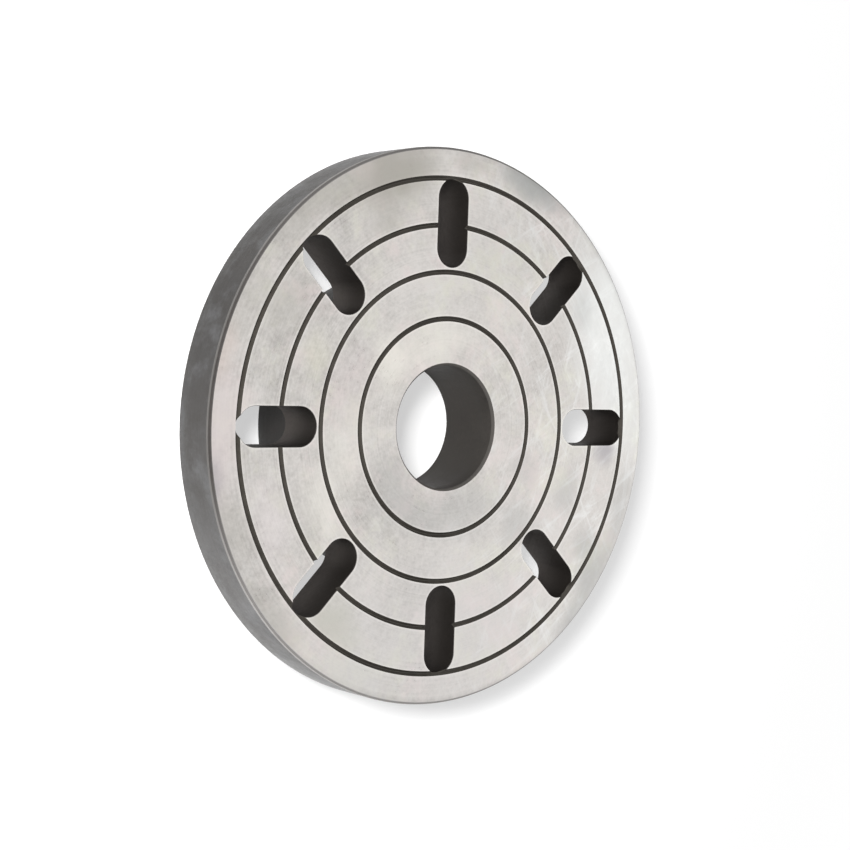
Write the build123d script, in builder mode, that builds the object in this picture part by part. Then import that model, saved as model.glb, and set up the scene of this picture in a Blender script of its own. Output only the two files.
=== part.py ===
"""A 160 mm lathe faceplate: one iron casting, turned, grooved, slotted and tapped.

The plate lies on its hub with the working face up. Z is the spindle axis and
the origin is the middle of the hub's rear face, which seats on the spindle
flange. All sizes are millimetres.
"""

from build123d import *
from math import radians, tan
import os

# The plate
plate_diameter = 160.0
plate_thickness = 15.0
rim_front_chamfer = 0.8
rim_back_chamfer = 0.4

# The bore through the middle
bore_diameter = 35.5
bore_chamfer = 0.7

# The register, a recess in the rear that fits round the boss of the spindle flange
register_diameter = 55.0
register_depth = 9.8
register_chamfer = 0.8

# The hub behind the plate, with the blind tapped holes for the flange studs
hub_projection = 16.5
hub_end_chamfer = 0.3
hub_root_radius = 1.5
hub_land = 11.0
stud_count = 3
stud_wall = 5.5
stud_hole_diameter = 5.0
stud_hole_depth = 15.0
stud_hole_mouth = 6.4
stud_drill_angle = 118.0

# The centring grooves in the working face, from the rim inwards
groove_count = 4
groove_inset = 8.9
groove_pitch = 13.33
groove_width = 1.4
groove_depth = 1.2

# The bolt slots
slot_count = 8
slot_width = 11.0
slot_hub_clearance = 1.8

# Heights above the hub's rear face
plate_back = hub_projection
working_face = plate_back + plate_thickness

# Radii, from the spindle axis outwards
bore_radius = bore_diameter / 2
register_radius = register_diameter / 2
stud_circle_radius = register_radius + stud_wall
hub_radius = stud_circle_radius + hub_land
plate_radius = plate_diameter / 2
groove_radii = [plate_radius - groove_inset - i * groove_pitch for i in range(groove_count)]

# A slot clears the hub at its inner end, and its outer end touches the outermost groove
slot_start = hub_radius + slot_hub_clearance
slot_end = groove_radii[0]
slot_length = slot_end - slot_start

# How far a drill's point runs on past the full width of its hole
stud_point_length = stud_hole_diameter / 2 / tan(radians(stud_drill_angle / 2))

# The hub's rear face, looked at from behind, where the stud holes are drilled
rear_face = Plane(origin=(0, 0, 0), x_dir=(1, 0, 0), z_dir=(0, 0, -1))

with BuildPart() as faceplate:
    # Half of the turned section, from the bore out to the rim
    with BuildSketch(Plane.XZ) as half_section:
        with BuildLine():
            Polyline(
                (bore_radius, working_face),
                (bore_radius, register_depth),
                (register_radius, register_depth),
                (register_radius, 0),
                (hub_radius, 0),
                (hub_radius, plate_back),
                (plate_radius, plate_back),
                (plate_radius, working_face),
                close=True,
            )
        make_face()

        # Every turned corner, chosen as the section's nearest vertex
        for corner, length in (
            ((bore_radius, working_face), bore_chamfer),
            ((register_radius, 0), register_chamfer),
            ((hub_radius, 0), hub_end_chamfer),
            ((plate_radius, plate_back), rim_back_chamfer),
            ((plate_radius, working_face), rim_front_chamfer),
        ):
            chamfer(half_section.vertices().sort_by_distance(corner)[0], length)
        hub_root = half_section.vertices().sort_by_distance((hub_radius, plate_back))[0]
        fillet(hub_root, hub_root_radius)

        # The grooves are cut by a pointed tool, so each is a V in the face line
        with Locations([(radius, working_face) for radius in groove_radii]):
            Polygon(
                (-groove_width / 2, 0),
                (0, -groove_depth),
                (groove_width / 2, 0),
                align=None,
                mode=Mode.SUBTRACT,
            )
    revolve(axis=Axis.Z)

    # The slots are milled right through the plate, each along its own radius
    with BuildSketch(Plane.XY.offset(working_face)):
        with PolarLocations((slot_start + slot_end) / 2, slot_count):
            SlotOverall(slot_length, slot_width)
    extrude(amount=-plate_thickness, mode=Mode.SUBTRACT)

    # Blind holes for the studs, each with its drill point and a countersunk mouth
    with Locations(rear_face):
        with PolarLocations(stud_circle_radius, stud_count, start_angle=90):
            CounterSinkHole(
                radius=stud_hole_diameter / 2,
                counter_sink_radius=stud_hole_mouth / 2,
                depth=stud_hole_depth,
                counter_sink_angle=90,
            )
    with Locations(rear_face.offset(-stud_hole_depth)):
        with PolarLocations(stud_circle_radius, stud_count, start_angle=90):
            Cone(
                bottom_radius=0,
                top_radius=stud_hole_diameter / 2,
                height=stud_point_length,
                align=(Align.CENTER, Align.CENTER, Align.MAX),
                mode=Mode.SUBTRACT,
            )

os.makedirs("parts", exist_ok=True)
faceplate.part.label = "faceplate"
export_step(faceplate.part, "parts/faceplate.step")
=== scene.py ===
"""A 160 mm lathe faceplate on a white table, seen from above and to one side.

The plate lies on its hub with the working face up. Z is the spindle axis and the
table is at zero. Profiles are worked out in millimetres, and the mesh is in metres.
"""

import math
from collections import namedtuple

import bmesh
import bpy
import numpy as np
from mathutils import Matrix, Vector


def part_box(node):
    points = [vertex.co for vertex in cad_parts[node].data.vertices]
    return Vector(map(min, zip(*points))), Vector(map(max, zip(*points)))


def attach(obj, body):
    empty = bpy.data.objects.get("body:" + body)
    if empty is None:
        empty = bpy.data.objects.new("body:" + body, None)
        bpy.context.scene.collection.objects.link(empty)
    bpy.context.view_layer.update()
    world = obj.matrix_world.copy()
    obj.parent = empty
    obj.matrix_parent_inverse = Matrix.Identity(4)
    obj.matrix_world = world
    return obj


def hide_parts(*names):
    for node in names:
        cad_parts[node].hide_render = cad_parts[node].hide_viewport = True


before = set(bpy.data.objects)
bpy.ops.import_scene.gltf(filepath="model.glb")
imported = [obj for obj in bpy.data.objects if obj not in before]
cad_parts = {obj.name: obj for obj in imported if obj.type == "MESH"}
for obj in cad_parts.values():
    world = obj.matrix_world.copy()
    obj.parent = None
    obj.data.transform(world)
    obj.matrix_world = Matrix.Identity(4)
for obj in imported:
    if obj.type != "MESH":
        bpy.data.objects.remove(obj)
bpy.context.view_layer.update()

# The casting: grey iron, turned all over, so nearly all its skin is one profile
# carried round the spindle axis. The bolt slots and the stud holes are windows
# left in that skin, and each has a wall of its own. The plate's radius and the
# height of its working face are the CAD part's.
MM = 0.001
PLATE_RADIUS, _, FACE = np.array(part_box("faceplate")[1]) / MM
PLATE_THICKNESS = 15.0
PLATE_BACK = FACE - PLATE_THICKNESS
RIM_CHAMFER = 0.8
FACE_EDGE = PLATE_RADIUS - RIM_CHAMFER
BORE_RADIUS = 17.75
BORE_CHAMFER = 0.7
BORE_EDGE = BORE_RADIUS + BORE_CHAMFER
REGISTER_RADIUS = 27.5
REGISTER_DEPTH = 9.8
REGISTER_EDGE = 28.3
HUB_RADIUS = 44.0
HUB_EDGE = 43.66
HUB_ROOT_RADIUS = 1.5
STEPS_ROUND = 288

quads, quad_finish = [], []


def add_quads(corners, finishes):
    """Keeps quads by their corner points, with one finish, or one per band or per quad."""
    finishes = np.array(finishes)
    finishes = finishes.reshape(finishes.shape + (1,) * (corners.ndim - 2 - finishes.ndim))
    quad_finish.extend(np.broadcast_to(finishes, corners.shape[:-2]).ravel())
    quads.append(corners.reshape(-1, 4, 3))


def skin(rows, finishes, sectors=8, first_angle=0.0, window=None):
    """Adds the surface that rows of (radius, height) sweep round the spindle axis.

    Each sector runs from the edge of one window to the edge of the next. window(radius)
    is the half angle that a window takes, and a row's points stand at even angles along
    what is left. Neighbouring rows are joined by quads.
    """
    radius, height = np.array(rows, float).T[:, :, None, None]
    taken = np.zeros_like(radius) if window is None else window(radius)
    sector = 2 * np.pi / sectors
    start = (first_angle + sector * np.arange(sectors))[None, :, None]
    along = np.linspace(0, 1, STEPS_ROUND // sectors + 1)[None, None, :]
    angle = start + taken + along * (sector - 2 * taken)
    points = np.stack([radius * np.cos(angle), radius * np.sin(angle),
                       np.broadcast_to(height, angle.shape)], -1)
    corners = np.stack([points[:-1, :, :-1], points[:-1, :, 1:],
                        points[1:, :, 1:], points[1:, :, :-1]], -2)
    add_quads(corners, finishes)


def wall(loops, finishes):
    """Adds the wall that closed loops of points make, each joined to the next by quads."""
    loops = np.array(loops)
    after = np.roll(loops, -1, axis=1)
    corners = np.stack([loops[:-1], after[:-1], after[1:], loops[1:]], -2)
    add_quads(corners, finishes)


def turned(points, angle):
    """Points turned round the spindle axis by an angle."""
    c, s = math.cos(angle), math.sin(angle)
    return points @ np.array([[c, s, 0], [-s, c, 0], [0, 0, 1]])


def hole_half_angle(radius, centre, hole_radius):
    """Half the angle that a round hole takes of a circle round the axis.

    By the rule of cosines, in the triangle of the axis, the hole's centre and the point
    where the two circles cross.
    """
    cosine = (radius ** 2 + centre ** 2 - hole_radius ** 2) / (2 * radius * centre)
    return np.arccos(np.clip(cosine, -1, 1))


def hole_crossings(centre, hole_radius, turn):
    """Distances from the axis of the points on a round hole's edge at those turns.

    A turn is measured at the hole's centre, from the direction away from the axis. The
    distance is by the rule of cosines.
    """
    return np.sqrt(centre ** 2 + 2 * centre * hole_radius * np.cos(turn) + hole_radius ** 2)


# The eight bolt slots, milled right through the plate. Each has straight sides and
# round ends, and its edges are broken with a file.
SLOTS = 8
SLOT_HALF_WIDTH = 5.5
SLOT_START, SLOT_END = 45.8, 71.1
SLOT_CENTRES = SLOT_START + SLOT_HALF_WIDTH, SLOT_END - SLOT_HALF_WIDTH
EDGE_BREAK = 0.12
MOUTH_HALF_WIDTH = SLOT_HALF_WIDTH + EDGE_BREAK


def slot_half_angle(radius):
    """Half the angle that a slot's mouth takes of a circle round the axis.

    Between the ends the mouth's half width is the sine's share of the radius. Past them
    it is what the round end there takes.
    """
    low, high = (math.hypot(centre, MOUTH_HALF_WIDTH) for centre in SLOT_CENTRES)
    side = np.arcsin(np.minimum(MOUTH_HALF_WIDTH / radius, 1))
    centre = np.where(radius < (low + high) / 2, *SLOT_CENTRES)
    end = hole_half_angle(radius, centre, MOUTH_HALF_WIDTH)
    return np.where((radius > low) & (radius < high), side, end)


# Rows of the skin that meet the slots' round ends at even steps, and a few that cross
# their sides
quarter = np.radians(np.linspace(0, 90, 13))
inner_centre, outer_centre = SLOT_CENTRES
slot_radii = np.concatenate([
    hole_crossings(inner_centre, MOUTH_HALF_WIDTH, np.pi - quarter),
    hole_crossings(outer_centre, MOUTH_HALF_WIDTH, quarter),
    np.linspace(54.2, 63.2, 5)])

# The four centring grooves are cut by a pointed tool, and their bottoms are as wide
# as the tool's nose.
GROOVES = 31.11, 44.44, 57.77, 71.1
GROOVE_HALF_WIDTH = 0.75
NOSE_HALF_WIDTH = 0.08
GROOVE_DEPTH = 1.17
GROOVE_SECTION = ((-GROOVE_HALF_WIDTH, 0), (-NOSE_HALF_WIDTH, GROOVE_DEPTH),
                  (NOSE_HALF_WIDTH, GROOVE_DEPTH), (GROOVE_HALF_WIDTH, 0))
groove_rows = np.array([(groove + out, FACE - depth)
                        for groove in GROOVES for out, depth in GROOVE_SECTION])


def face_height(radius):
    """Height of the working face at a radius, down in the grooves too."""
    return np.interp(radius, groove_rows[:, 0], groove_rows[:, 1])


def apart(radii, others, least):
    """Those radii that are at least that far from every other one."""
    return radii[np.abs(radii[:, None] - others[None, :]).min(1) > least]


# The working face: rows at the grooves' corners and at the slots, and plain rows in
# the gaps between them
kept_slot_radii = apart(slot_radii, groove_rows[:, 0], least=0.02)
ring_radii = np.concatenate([groove_rows[:, 0], kept_slot_radii])
plain_radii = apart(np.linspace(BORE_EDGE, FACE_EDGE, 40)[1:-1], ring_radii, least=0.9)
face_radii = np.sort(np.concatenate([ring_radii, plain_radii, [BORE_EDGE, FACE_EDGE]]))
between = (face_radii[1:] + face_radii[:-1]) / 2
in_groove = np.abs(between[:, None] - np.array(GROOVES)).min(1) < GROOVE_HALF_WIDTH
skin(np.stack([face_radii, face_height(face_radii)], 1), np.where(in_groove, "groove", "face"),
     window=slot_half_angle)

# The rim, from the face's edge round to the back of the plate. Its front chamfer is coloured as a
# dark line between two pale ones, and each is painted paler on one side of the plate, as painted
# light.
CHAMFER_TOP, CHAMFER_FOOT = (79.36, 31.38), (79.86, 30.88)
RIM_TOP, RIM_FOOT = 30.15, 16.95
BACK_EDGE = 79.55
skin([(FACE_EDGE, FACE), (79.27, 31.46), CHAMFER_TOP], "rim_pale_line")
skin([CHAMFER_TOP, CHAMFER_FOOT], "rim_dark_line")
skin([CHAMFER_FOOT, (79.96, 30.76), (PLATE_RADIUS, 30.62), (PLATE_RADIUS, RIM_TOP)], "rim_pale_line")
skin([(PLATE_RADIUS, RIM_TOP), (PLATE_RADIUS, 26), (PLATE_RADIUS, 21.5), (PLATE_RADIUS, RIM_FOOT),
      (79.93, 16.78), (79.72, 16.57), (BACK_EDGE, PLATE_BACK)], "rim")

# The back of the plate, the root of the hub, a quarter of a circle in section, and
# the hub down to its rear face
ROOT_EDGE = HUB_RADIUS + HUB_ROOT_RADIUS
beyond_slots = SLOT_END + 2 * EDGE_BREAK
slot_row_radii = face_radii[(face_radii > ROOT_EDGE) & (face_radii < beyond_slots)]
back_radii = [BACK_EDGE, 77.5, 75, 73, *slot_row_radii[::-1], ROOT_EDGE]
skin([(radius, PLATE_BACK) for radius in back_radii], "back", window=slot_half_angle)
root_rows = [(ROOT_EDGE - HUB_ROOT_RADIUS * math.sin(a),
              PLATE_BACK - HUB_ROOT_RADIUS * (1 - math.cos(a)))
             for a in np.radians(np.linspace(0, 90, 9))]
skin([*root_rows, (HUB_RADIUS, 10), (HUB_RADIUS, 5), (HUB_RADIUS, 0.34), (43.97, 0.26),
      (43.74, 0.03), (HUB_EDGE, 0)], "back")


def slot_loop(heights, inset):
    """A slot's mouth as a closed loop, out along one side and back along the other.

    Each point is moved in, square to the slot's edge, by inset: its distance from the
    line between the ends' centres shrinks by that much.
    """
    half_angle = slot_half_angle(slot_row_radii)
    along = slot_row_radii * np.cos(half_angle)
    across = slot_row_radii * np.sin(half_angle)
    middle = np.clip(along, *SLOT_CENTRES)
    scale = 1 - inset / np.hypot(along - middle, across)
    side = np.stack([middle + (along - middle) * scale, across * scale,
                     np.broadcast_to(heights, along.shape)], -1)
    return np.concatenate([side, side[-2:0:-1] * [1, -1, 1]])


# The slots' walls: a loop round the mouth, the same loop moved in and down by the
# broken edge, and on down to the back of the plate, at these shares of the way
DOWN_THE_WALL = 0, 0.08, 0.3, 0.55, 0.8, 1
mouth_heights = face_height(slot_row_radii)
upper = slot_loop(mouth_heights - EDGE_BREAK, EDGE_BREAK)
lower = slot_loop(PLATE_BACK + EDGE_BREAK, EDGE_BREAK)
slot_loops = [slot_loop(mouth_heights, 0), *(upper + (lower - upper) * t for t in DOWN_THE_WALL),
              slot_loop(PLATE_BACK, 0)]
mouth = slot_loops[0][:, 2]
at_groove = np.minimum(mouth, np.roll(mouth, -1)) < FACE - 0.01
wall_finishes = [np.where(at_groove, "groove", "broken_edge"),
                 *np.full((len(DOWN_THE_WALL) - 1, len(mouth)), "slot"),
                 np.full(len(mouth), "back")]
for k in range(SLOTS):
    wall([turned(loop, k * 2 * np.pi / SLOTS) for loop in slot_loops], wall_finishes)

# The hub's rear face, which seats on the spindle flange, and in it the three blind
# holes for the flange studs, drilled, countersunk and tapped M6.
STUDS = 3
STUD_CIRCLE = 33.0
FIRST_STUD = np.pi / 2
STUD_MOUTH = 3.2
STUD_DEPTH = 15.0
DRILL_POINT = 1.5
TAP_DRILL_RADIUS = 2.5
THREAD_HEIGHT = 0.5
THREAD_PITCH = 1.0
THREAD_END = 12.5
THREAD_RUN_OUT = 1.0
hole_radii = hole_crossings(STUD_CIRCLE, STUD_MOUTH, np.radians(np.linspace(0, 180, 19)))
seat_radii = [HUB_EDGE, 41, 38, *hole_radii, 29, REGISTER_EDGE]
skin([(radius, 0) for radius in seat_radii], "seat", sectors=STUDS, first_angle=FIRST_STUD,
     window=lambda radius: hole_half_angle(radius, STUD_CIRCLE, STUD_MOUTH))

# The thread's crest is a helix, where depth in pitches less turns is whole. From there
# the cut deepens evenly to the root, half a pitch on. Both are clipped flat, and the
# cut fades over the run-out. At the mouth the countersink is wider.
depth = np.array([0, *np.arange(0.1, THREAD_END + THREAD_RUN_OUT, 0.1), STUD_DEPTH])[:, None]
turn = np.radians(np.arange(0, 360, 10))[None, :]
wave = 1 - np.abs(2 * ((depth / THREAD_PITCH - turn / (2 * np.pi)) % 1) - 1)
fade = np.clip((THREAD_END + THREAD_RUN_OUT - depth) / THREAD_RUN_OUT, 0, 1)
cut = THREAD_HEIGHT * np.clip(1.3 * wave - 0.15, 0, 1) * fade
hole_radius = np.maximum(TAP_DRILL_RADIUS + cut, STUD_MOUTH - depth)
hole = np.stack([STUD_CIRCLE + hole_radius * np.cos(turn), hole_radius * np.sin(turn),
                 np.broadcast_to(depth, hole_radius.shape)], -1)
tip = np.broadcast_to([STUD_CIRCLE, 0, STUD_DEPTH + DRILL_POINT], hole[:1].shape)
for k in range(STUDS):
    wall(turned(np.concatenate([hole, tip]), FIRST_STUD + k * 2 * np.pi / STUDS), "thread")

# The register in the rear, its floor, and the bore
BORE_FOOT, BORE_TOP = 10.1, 30.72
skin([(REGISTER_EDGE, 0), (27.55, 0.74), (REGISTER_RADIUS, 0.85), (REGISTER_RADIUS, 5),
      (REGISTER_RADIUS, 9.6), (27.44, 9.74), (27.3, REGISTER_DEPTH), (23, REGISTER_DEPTH),
      (18.05, REGISTER_DEPTH), (BORE_RADIUS, BORE_FOOT)], "seat")
skin([(BORE_RADIUS, height) for height in (BORE_FOOT, 14, 18, 22, 26, BORE_TOP)], "bore")
skin([(BORE_RADIUS, BORE_TOP), (17.81, 30.86), (18.32, 31.41), (BORE_EDGE, FACE)], "bore_edge")


# The casting's finishes. The working face is fine turned and clean, the grooves, slots and bore
# keep dark oil, and the rim and back are as the roughing tool left them. The back's near black is
# painted shade, and the rim and its edges carry painted light on one side.
class Number:
    """A number on its way through a finish's nodes. Arithmetic on it adds Math nodes."""

    def __init__(self, finish, socket):
        self.finish, self.socket = finish, socket

    def __add__(self, other):
        return self.finish.math("ADD", self, other)

    def __sub__(self, other):
        return self.finish.math("SUBTRACT", self, other)

    def __rsub__(self, other):
        return self.finish.math("SUBTRACT", other, self)

    def __mul__(self, other):
        return self.finish.math("MULTIPLY", self, other)

    __radd__, __rmul__ = __add__, __mul__

    def between(self, start, end):
        """Rises softly from 0 at start to 1 at end, or falls if end is the lower."""
        return self.finish.node("ShaderNodeMapRange", {"interpolation_type": "SMOOTHSTEP"},
                                {0: self, 1: start, 2: end})


class Finish:
    """The nodes of a material or of the room, and the one way of adding a node to them."""

    def __init__(self, owner):
        owner.use_nodes = True
        self.owner, self.tree = owner, owner.node_tree

    def node(self, kind, settings={}, inputs={}, output=0):
        """Adds a node of that kind, with its settings first and then its sockets filled."""
        node = self.tree.nodes.new(kind)
        for name, value in settings.items():
            setattr(node, name, value)
        self.fill(node, inputs)
        return Number(self, node.outputs[output])

    def fill(self, node, inputs):
        """Sets or links the node's sockets."""
        for name, value in inputs.items():
            if isinstance(value, Number):
                self.tree.links.new(value.socket, node.inputs[name])
            else:
                node.inputs[name].default_value = value

    def math(self, operation, *values):
        """A Math node of those values."""
        return self.node("ShaderNodeMath", {"operation": operation}, dict(enumerate(values)))

    def length(self, vector):
        """How long a vector is."""
        return self.node("ShaderNodeVectorMath", {"operation": "LENGTH"}, {0: vector}, "Value")

    def moved(self, place, by):
        """The place, moved along all three axes, so that two noises there differ."""
        return self.node("ShaderNodeVectorMath", {"operation": "ADD"}, {0: place, 1: (by, by, by)})

    def stretched(self, place, middle=(0, 0, 0), turn=0.0, scale=(1, 1, 1)):
        """The place as a pattern sees it that has that middle, turn in degrees and size."""
        return self.node("ShaderNodeMapping", {"vector_type": "TEXTURE"}, {
            "Vector": place, "Location": middle, "Rotation": (0, 0, math.radians(turn)),
            "Scale": scale})

    def noise(self, place, scale, detail=3.0, roughness=0.6, distortion=0.0):
        """Cloudy noise about 0.5, of that many lumps to the metre."""
        return self.node("ShaderNodeTexNoise", {}, {
            "Vector": place, "Scale": scale, "Detail": detail, "Roughness": roughness,
            "Distortion": distortion})

    def mix(self, share, first, second):
        """A colour, or a link to one, mixed towards another by a share."""
        first, second = (c if isinstance(c, Number) else (*c, 1) for c in (first, second))
        return self.node("ShaderNodeMix", {"data_type": "RGBA"},
                         {0: share, 6: first, 7: second}, output=2)


# Where a finish is asked for: the point itself, its parts, and how far it is from the axis
Spot = namedtuple("Spot", "place x y z radius")


def turned_iron(name, colour, worn_colour, roughness, metallic, rings, bump, mottle=1.0,
                patches=None):
    """A turned iron surface.

    Its colour goes from colour to worn_colour by a mask: soft blotches, and rings round
    the axis, which are noise of the distance from the axis and of height, and a grain.
    Roughness follows the same mask, and the rings and the grain make the bump. patches
    is a function that lays more over the colour.
    """
    finish = Finish(bpy.data.materials.new(name))
    place = finish.node("ShaderNodeTexCoord", output="Object")
    x, y, z = (finish.node("ShaderNodeSeparateXYZ", {}, {0: place}, axis) for axis in range(3))
    radius = finish.length(finish.node("ShaderNodeCombineXYZ", {}, {0: x, 1: y}))
    ring = finish.node("ShaderNodeTexNoise", {"noise_dimensions": "1D"}, {
        "W": radius + z, "Scale": rings, "Detail": 3.0, "Roughness": 0.7})
    blotch = finish.noise(place, 20, 7, 0.85, 0.3)
    grain = finish.noise(place, 900, 3, 0.65)
    mask = ((blotch - 0.5) * 2.6 + (ring - 0.5) * 0.6 + (grain - 0.5)) * mottle + 0.5
    tone = finish.mix(mask, colour, worn_colour)
    if patches:
        tone = patches(finish, Spot(place, x, y, z, radius), tone)
    normal = finish.node("ShaderNodeBump", {}, {
        "Height": ring * 0.6 + grain * 0.4, "Strength": bump, "Distance": 0.2 * MM})
    finish.fill(finish.tree.nodes["Principled BSDF"], {
        "Base Color": tone, "Metallic": metallic, "Roughness": (mask - 0.5) * 0.25 + roughness,
        "Normal": normal})
    return finish.owner


# Colours for the working face: stains of oil and of hands, and SHEEN, a painted sheen on its +x
# side. As smudges, they also paint the uneven light across the face.
SHEEN, CREAM, PALE = (0.66, 0.67, 0.66), (0.685, 0.665, 0.61), (0.66, 0.61, 0.61)
COOL, WARM, GREY = (0.31, 0.313, 0.308), (0.31, 0.296, 0.264), (0.50, 0.487, 0.488)
ROSE, VIOLET = (0.575, 0.515, 0.51), (0.235, 0.22, 0.25)
OLIVE, STRAW, RUST = (0.35, 0.355, 0.28), (0.57, 0.565, 0.42), (0.56, 0.46, 0.41)

# Each smudge, some of them stains and some painted light and shade: its middle's x and y, half its
# length and width, its turn in degrees, the share of its colour, and the colour
SMUDGES_AND_PAINTED_LIGHT = (
    # The SHEEN entries are painted sheen, which lightens the face on its +x side
    (64, 24, 42, 18, 112, 0.75, SHEEN),
    (66, 44, 14, 7, 122, 0.50, SHEEN),
    (30, 71, 15, 5, 157, 0.85, COOL),
    (8, 75, 9, 4, 174, 0.35, WARM),
    (-22, 70, 20, 9, 16, 0.78, WARM),
    (-48, 60, 20, 8, 38, 0.45, WARM),
    (-57, 33, 8, 11, -25, 0.35, WARM),
    (-76, -2, 8, 26, 0, 0.60, ROSE),
    (-78, -15, 5, 10, 0, 0.40, VIOLET),
    (-57, -52, 15, 6, -47, 0.42, WARM),
    (-38, -54, 13, 7, -42, 0.45, OLIVE),
    (52, -59, 11, 7, 41, 0.55, COOL),
    (63, -45, 20, 9, 53, 0.55, COOL),
    (74, -24, 14, 7, 72, 0.35, COOL),
    (65, -8, 6, 5, 20, 0.55, VIOLET),
    (-2, -24, 26, 9, 0, 0.36, COOL),
    (-37, -8, 9, 15, 0, 0.35, CREAM),
    (-24, 58, 12, 7, 22, 0.40, WARM),
    (-71, -28, 6, 13, 22, 0.30, WARM),
    (-30, -70, 16, 6, -23, 0.30, GREY),
    (-18, -16, 8, 12, 25, 0.38, COOL),
    (14, -19, 9, 8, 40, 0.12, COOL),
    (-6, 25, 22, 9, 8, 0.45, CREAM),
    (-22, 17, 10, 10, 30, 0.60, CREAM),
    (-44, -22, 7, 12, 15, 0.45, CREAM),
    (-60, -27, 9, 16, 15, 0.40, PALE),
    (-35, 12, 9, 13, -15, 0.30, ROSE),
    (20, 52, 18, 13, 150, 0.10, COOL),
    (53, 36, 6, 8, 20, 0.30, COOL),
    (30, -29, 9, 10, 30, 0.35, COOL),
    (48, -19, 7, 8, 0, 0.32, COOL),
    (31, -13, 6, 8, 0, 0.28, COOL),
    (57, -35, 6, 6, 0, 0.45, COOL),
    (-70, 32, 8, 16, -24, 0.24, WARM),
    (-46, 20, 6, 9, 0, 0.24, STRAW),
    (-77, 20, 5, 10, -15, 0.30, RUST),
    (0, -60, 60, 30, 0, 0.30, GREY),
)

# The wipe marks' directions in degrees, and how much stronger each is on the +x side of the plate
WIPES = (32, 0.45), (-58, 0.35), (75, 0.35)


def bright_edges(finish, spot, tone):
    """Lays a thin bright line along the grooves and round the slots: wear, and a painted highlight
    on the edges.

    A groove's is by the distance from its circle. For the slots the plate is folded into
    one eighth, and the distance is from the line between the ends' centres.
    """
    line = 0
    for groove in GROOVES:
        off = finish.math("ABSOLUTE", spot.radius - groove * MM)
        line = off.between(1.6 * MM, 0.6 * MM) + line
    folded = finish.math("PINGPONG", finish.math("ARCTAN2", spot.y, spot.x), math.pi / SLOTS)
    along = spot.radius * finish.math("COSINE", folded)
    across = spot.radius * finish.math("SINE", folded)
    inner, outer = (centre * MM for centre in SLOT_CENTRES)
    beyond = finish.math("MAXIMUM", finish.math("MAXIMUM", along - outer, inner - along), 0.0)
    off = finish.math("SQRT", beyond * beyond + across * across)
    line = line + off.between(6.5 * MM, 5.5 * MM)
    # Near white: partly wear, partly a painted highlight along the edges
    return finish.mix(line * 0.25, tone, (0.92, 0.90, 0.86))


def wipe_marks(finish, spot, tone):
    """Lays faint rose and straw tints, and over them fine streaks where a cloth has gone.

    A streak is noise that is seven times as long as it is wide.
    """
    for by, tint in (0.2, (0.635, 0.55, 0.54)), (0.5, (0.58, 0.58, 0.485)):
        cloud = finish.noise(finish.moved(spot.place, by), 45, 5, 0.8)
        tone = finish.mix(cloud.between(0.48, 0.7) * 0.45, tone, tint)
    for turn, stronger in WIPES:
        along = finish.stretched(spot.place, turn=turn, scale=(7, 1, 1))
        streak = finish.noise(along, 260, 4, 0.7, 1.0).between(0.52, 0.72)
        share = spot.x.between(-0.02, 0.06) * stronger + 0.1
        tone = finish.mix(streak * share, tone, (0.66, 0.665, 0.66))
    return tone


def smudges_and_painted_light(finish, spot, tone):
    """Lays the smudges and the painted light on the face, each an ellipse that fades towards an
    edge made ragged by noise.
    """
    ragged = 12 * MM
    push = finish.node("ShaderNodeTexNoise", {}, {
        "Vector": spot.place, "Scale": 60.0, "Detail": 3.0}, "Color")
    place = finish.node("ShaderNodeVectorMath", {"operation": "MULTIPLY_ADD"}, {
        0: push, 1: (ragged, ragged, 0), 2: spot.place})
    for x, y, long, wide, turn, share, colour in SMUDGES_AND_PAINTED_LIGHT:
        middle = x * MM + ragged / 2, y * MM + ragged / 2, FACE * MM
        own = finish.stretched(place, middle, turn, (long * MM, wide * MM, 1))
        tone = finish.mix(finish.length(own).between(1.2, 0.2) * share, tone, colour)
    return tone


def used_face_and_painted_light(finish, spot, tone):
    """Lays bright edges, wipe marks, and smudges with painted light over the working face, in that
    order.
    """
    for lay in bright_edges, wipe_marks, smudges_and_painted_light:
        tone = lay(finish, spot, tone)
    return tone


def painted_light_on_edge(lit_colour):
    """A function that lays the lit colour over the rim's edge, well on one side of the plate and
    less on the side across from it: painted light, as the light falls on the rim."""
    def lay(finish, spot, tone):
        well, less = spot.y.between(-0.005, -0.062), spot.y.between(0.024, 0.08)
        return finish.mix(well * 0.75 + less * 0.3, tone, lit_colour)
    return lay


# The side of the plate on which the painted shade leaves the rim darkest
PAINTED_SHADE_SIDE = math.radians(150)


def painted_side_light_and_smears(finish, spot, tone):
    """Paints light and shade on the rim, lighter the further round it is from its darkest side,
    and lays oily smears and rubbed places over it."""
    toward = (spot.x * math.cos(PAINTED_SHADE_SIDE) + spot.y * math.sin(PAINTED_SHADE_SIDE)) * (1 / (PLATE_RADIUS * MM))
    # Painted light: the rim is coloured lighter the further it turns from its painted shade side
    tone = finish.mix(1.0 - toward, tone, (0.235, 0.232, 0.231))
    smears = finish.noise(spot.place, 75, 6, 0.8)
    tone = finish.mix(smears.between(0.35, 0.7) * 0.45, tone, (0.045, 0.039, 0.034))
    rubbed = finish.noise(finish.moved(spot.place, 0.3), 90, 4, 0.7)
    return finish.mix(rubbed.between(0.45, 0.75) * 0.25, tone, (0.24, 0.25, 0.265))


def paler_deep_down(finish, spot, tone):
    """Lightens a slot's wall towards the back of the plate."""
    return finish.mix(spot.z.between(0.030, 0.017) * 0.6, tone, (0.115, 0.102, 0.096))


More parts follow.
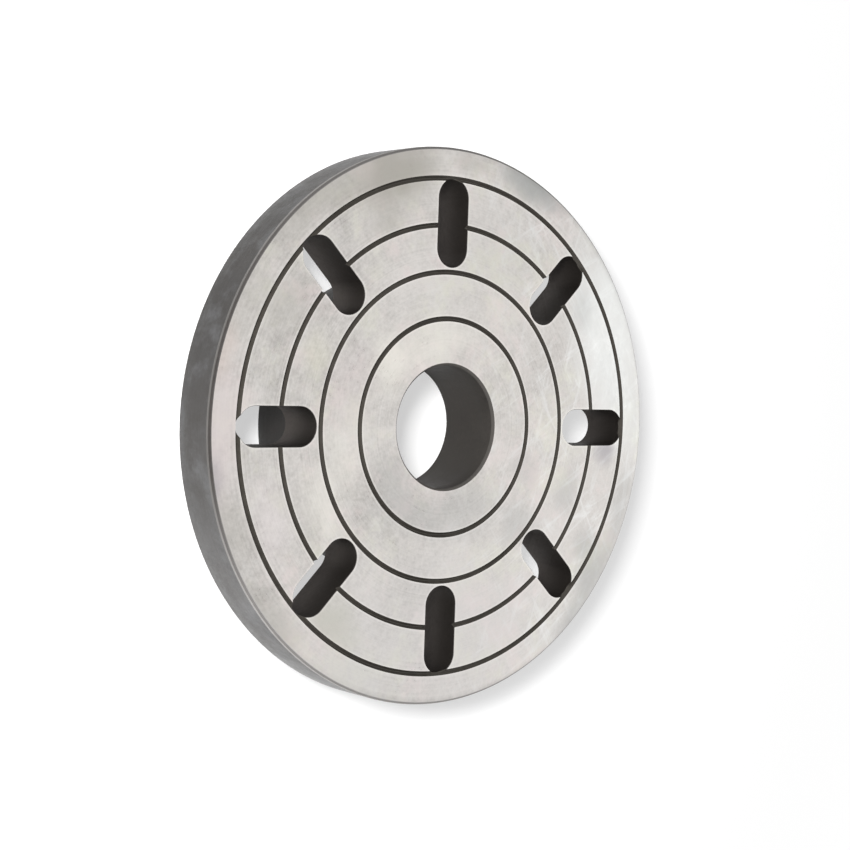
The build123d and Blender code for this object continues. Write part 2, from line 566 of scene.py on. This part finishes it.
finishes = {
    "face": turned_iron("fine_turned_face", (0.385, 0.368, 0.350), (0.575, 0.552, 0.531),
                        roughness=0.42, metallic=0.85, rings=1600, bump=0.12, mottle=1.3,
                        patches=used_face_and_painted_light),
    "groove": turned_iron("oiled_groove", (0.035, 0.0315, 0.027), (0.063, 0.057, 0.049),
                          roughness=0.6, metallic=0.4, rings=3000, bump=0.1),
    "broken_edge": turned_iron("broken_edge", (0.13, 0.122, 0.116), (0.19, 0.18, 0.172),
                               roughness=0.7, metallic=0.8, rings=3000, bump=0.1),
    # The chamfer's dark and pale lines are painted paler on one side of the plate: painted light
    "rim_dark_line": turned_iron("rim_edge_dark_line", (0.045, 0.040, 0.038), (0.088, 0.081, 0.076),
                              roughness=0.7, metallic=0.7, rings=3000, bump=0.1,
                              patches=painted_light_on_edge((0.315, 0.303, 0.293))),
    "rim_pale_line": turned_iron("rim_edge_pale_line", (0.13, 0.123, 0.118), (0.19, 0.182, 0.174),
                              roughness=0.7, metallic=0.8, rings=3000, bump=0.1,
                              patches=painted_light_on_edge((0.56, 0.543, 0.527))),
    "rim": turned_iron("turned_rim", (0.037, 0.0345, 0.033), (0.065, 0.062, 0.060),
                       roughness=0.5, metallic=0.85, rings=2200, bump=0.2,
                       patches=painted_side_light_and_smears),
    # The back's near black is painted shade: the hub's wall seen through the slots is coloured as
    # dark as the plate's shadow would make it
    "back": turned_iron("turned_back_painted_shade", (0.011, 0.0099, 0.0092), (0.022, 0.02, 0.0188),
                        roughness=0.55, metallic=0.4, rings=1100, bump=0.25),
    "seat": turned_iron("turned_seat", (0.42, 0.405, 0.38), (0.54, 0.52, 0.50),
                        roughness=0.4, metallic=0.75, rings=1600, bump=0.15),
    "bore": turned_iron("oiled_bore", (0.033, 0.030, 0.027), (0.063, 0.057, 0.052),
                        roughness=0.6, metallic=0.5, rings=1800, bump=0.2),
    "bore_edge": turned_iron("bore_chamfer", (0.08, 0.075, 0.07), (0.13, 0.12, 0.11),
                             roughness=0.7, metallic=0.7, rings=3000, bump=0.1),
    "slot": turned_iron("milled_slot", (0.025, 0.021, 0.018), (0.048, 0.041, 0.036),
                        roughness=0.6, metallic=0.85, rings=900, bump=0.2,
                        patches=paler_deep_down),
    "thread": turned_iron("tapped_thread", (0.10, 0.095, 0.09), (0.18, 0.17, 0.16),
                          roughness=0.4, metallic=0.8, rings=900, bump=0.1),
}

# The quads are merged into one closed skin. Its turned corners stay sharp, and the
# steps between its rows are shaded smooth.
MERGE_DISTANCE = 0.002 * MM
SHARP_FROM = math.radians(32)
points = np.concatenate(quads).reshape(-1, 3) * MM
mesh = bpy.data.meshes.new("faceplate_casting")
mesh.from_pydata(points, [], np.arange(len(points)).reshape(-1, 4))
for material in finishes.values():
    mesh.materials.append(material)
order = {name: i for i, name in enumerate(finishes)}
mesh.polygons.foreach_set("material_index", [order[name] for name in quad_finish])
skin_mesh = bmesh.new()
skin_mesh.from_mesh(mesh)
bmesh.ops.remove_doubles(skin_mesh, verts=skin_mesh.verts, dist=MERGE_DISTANCE)
bmesh.ops.recalc_face_normals(skin_mesh, faces=skin_mesh.faces)
skin_mesh.to_mesh(mesh)
skin_mesh.free()
mesh.shade_smooth()
mesh.set_sharp_from_angle(angle=SHARP_FROM)
casting = bpy.data.objects.new("faceplate_casting", mesh)
bpy.context.scene.collection.objects.link(casting)
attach(casting, "root")
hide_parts("faceplate")

# The table: a plain sheet of white paper. It glows white to the camera and in
# reflections, fully so away from the plate, and by the plate it takes a soft shadow.
SHEET_HALF = 4
SHEET_DROP = 0.05 * MM
WHITE_BY_THE_PLATE = 0.56


def seen(finish):
    """1 for a ray from the camera or one that metal or glass sends on, or else 0."""
    camera, glossy, through = (finish.node("ShaderNodeLightPath", output=ray) for ray in (
        "Is Camera Ray", "Is Glossy Ray", "Is Transmission Ray"))
    return camera + glossy + through


table_mesh = bpy.data.meshes.new("white_table")
table_mesh.from_pydata([(x * SHEET_HALF, y * SHEET_HALF, -SHEET_DROP)
                        for x, y in ((-1, -1), (1, -1), (1, 1), (-1, 1))], [], [(0, 1, 2, 3)])
white = Finish(bpy.data.materials.new("white_sheet"))
away = white.length(white.node("ShaderNodeTexCoord", output="Object")).between(0.11, 0.3)
share = seen(white) * (away * (1 - WHITE_BY_THE_PLATE) + WHITE_BY_THE_PLATE)
paper = white.node("ShaderNodeBsdfDiffuse", {}, {"Color": (0.95, 0.95, 0.95, 1)})
glow = white.node("ShaderNodeEmission", {}, {"Color": (1, 1, 1, 1), "Strength": 1.0})
white.fill(white.tree.nodes["Material Output"], {
    "Surface": white.node("ShaderNodeMixShader", {}, {0: share, 1: paper, 2: glow})})
table_mesh.materials.append(white.owner)
table = bpy.data.objects.new("white_table", table_mesh)
bpy.context.scene.collection.objects.link(table)

# The room: walls that are white to the camera and in reflections, and give the plate
# a plain soft light. Soft boxes stand round the table.
WALL_LIGHT = 0.2
scene = bpy.context.scene
scene.view_settings.view_transform = "Standard"
room = Finish(bpy.data.worlds.new("white_room"))
light = room.node("ShaderNodeBackground", {}, {"Color": (1, 1, 1, 1), "Strength": WALL_LIGHT})
backdrop = room.node("ShaderNodeBackground", {}, {"Color": (1, 1, 1, 1), "Strength": 1.0})
room.fill(room.tree.nodes["World Output"], {
    "Surface": room.node("ShaderNodeMixShader", {}, {0: seen(room), 1: light, 2: backdrop})})
scene.world = room.owner


def soft_box(name, azimuth, elevation, size, watts, distance):
    """A square soft box that far from the plate, in that direction, turned to face it."""
    a, e = math.radians(azimuth), math.radians(elevation)
    lamp = bpy.data.lights.new(name, "AREA")
    lamp.size, lamp.energy = size, watts
    box = bpy.data.objects.new(name, lamp)
    box.location = Vector((math.cos(a) * math.cos(e), math.sin(a) * math.cos(e),
                           math.sin(e))) * distance
    box.rotation_euler = (-box.location).to_track_quat("-Z", "Y").to_euler()
    scene.collection.objects.link(box)
    return box


# The near box casts the plate's shadow, and isn't mirrored in the turned iron
near_box = soft_box("soft_box_near", 168.3, 45.2, size=0.10, watts=7.9, distance=0.62)
near_box.visible_glossy = False
soft_box("soft_box_low", 250, 40, size=0.6, watts=1.2, distance=1.1)
soft_box("soft_box_beyond", -10, 32, size=0.6, watts=1.2, distance=1.1)

# The camera: a long lens, looking down on the plate and turned, so that the spindle
# axis leans to the left. Its matrix has its own right, up and back directions and its
# place as columns.
camera_data = bpy.data.cameras.new("photographer")
camera_data.lens, camera_data.sensor_width = 74.98, 36.0
camera = bpy.data.objects.new("photographer", camera_data)
camera.matrix_world = Matrix((
    (0.77628, -0.00305, -0.63038, -0.325608),
    (0.03254, 0.99885, 0.03523, 0.018357),
    (0.62955, -0.04786, 0.77549, 0.422264),
    (0, 0, 0, 1)))
scene.collection.objects.link(camera)
scene.camera = camera
